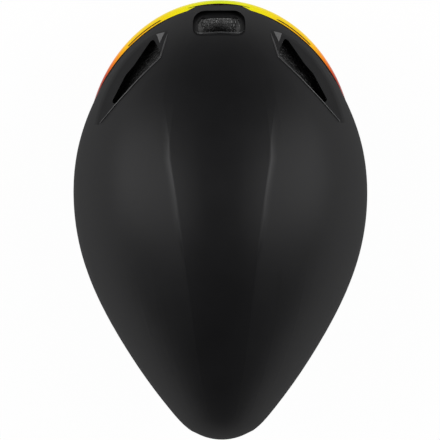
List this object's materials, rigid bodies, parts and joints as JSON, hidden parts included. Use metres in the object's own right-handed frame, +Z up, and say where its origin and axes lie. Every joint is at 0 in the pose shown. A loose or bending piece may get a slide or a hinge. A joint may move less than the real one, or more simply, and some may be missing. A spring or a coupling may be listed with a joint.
{
  "type": "aero time trial helmet",
  "caption": "Teardrop time trial helmet with a wrap-round mirrored visor, side scoops, foam liner, dial-adjusted fit ring and harness.",
  "frame": {"origin": "centre of the bounding box's base, at the height of the rim that the helmet stands on", "axes": "-Y is where the rider looks, +X is the rider's left, +Z is up"},
  "size_m": [0.2182, 0.3246, 0.1933],
  "materials": {
    "shell": "matt black polycarbonate with a soft sheen",
    "rim": "matt black moulded rim",
    "foam": "dark grey beaded expanded polystyrene",
    "trim": "satin black",
    "lens": "mirror coated, yellow to red-orange",
    "magnet": "nickel plated",
    "pad": "brushed knit over foam",
    "web": "woven black webbing",
    "fit_plastic": "moulded black nylon",
    "dial": "soft touch black",
    "screw": "blackened steel",
    "buckle": "moulded black"
  },
  "bodies": {
    "helmet": {"outer_shell": "shell", "lower_shell": "rim", "foam_liner": "foam", "exhaust_surround": "trim", "shell_magnets": "magnet", "brow_pad": "pad", "crown_pads": "pad", "side_pad_left": "pad", "side_pad_right": "pad", "temple_pins": "fit_plastic", "strap_anchors": "fit_plastic", "front_strap_left": "web", "front_strap_right": "web", "rear_strap_left": "web", "rear_strap_right": "web", "strap_divider_left": "buckle", "strap_divider_right": "buckle", "chin_strap_left": "web", "chin_strap_right": "web", "buckle_socket": "buckle", "socket_magnet": "magnet"},
    "visor": {"visor_lens": "lens", "visor_magnet_cups": "trim", "visor_magnets": "magnet"},
    "fit_ring": {"headband_left": "fit_plastic", "headband_right": "fit_plastic", "adjuster_housing": "fit_plastic", "adjuster_cover": "trim", "occipital_cradle": "fit_plastic", "cradle_pads": "pad"},
    "belt_left": {"fit_belt_left": "fit_plastic"},
    "belt_right": {"fit_belt_right": "fit_plastic"},
    "dial": {"dial_knob": "dial", "dial_pinion": "fit_plastic", "dial_screw": "screw"},
    "buckle": {"buckle_tongue": "buckle", "tongue_magnet": "magnet", "pull_tab": "dial"}
  },
  "joints": [
    {"name": "visor_release", "type": "slide", "parent": "helmet", "child": "visor", "axis": [0, -1, 0], "range_m": [0, 0.06]},
    {"name": "retention_tilt", "type": "hinge", "parent": "helmet", "child": "fit_ring", "pos_m": [0, -0.045, 0.088], "axis": [1, 0, 0], "range_deg": [-4, 4]},
    {"name": "dial_turn", "type": "hinge", "parent": "fit_ring", "child": "dial", "pos_m": [0, 0.00122, 0.06645], "axis": [0, -0.9063, 0.4226], "range_deg": [0, 123.9]},
    {"name": "belt_left_slide", "type": "hinge", "parent": "fit_ring", "child": "belt_left", "pos_m": [0, 0.00122, 0.06645], "axis": [0, 0.4226, 0.9063], "range_deg": [0, 10]},
    {"name": "belt_right_slide", "type": "hinge", "parent": "fit_ring", "child": "belt_right", "pos_m": [0, 0.00122, 0.06645], "axis": [0, -0.4226, -0.9063], "range_deg": [0, 10]},
    {"name": "buckle_release", "type": "slide", "parent": "helmet", "child": "buckle", "axis": [0, -1, 0], "range_m": [0, 0.019], "deforming": ["chin_strap_right"]}
  ],
  "couplings": [
    {"joint": "belt_left_slide", "follows": "dial_turn", "ratio": 0.080645},
    {"joint": "belt_right_slide", "follows": "dial_turn", "ratio": 0.080645}
  ]
}
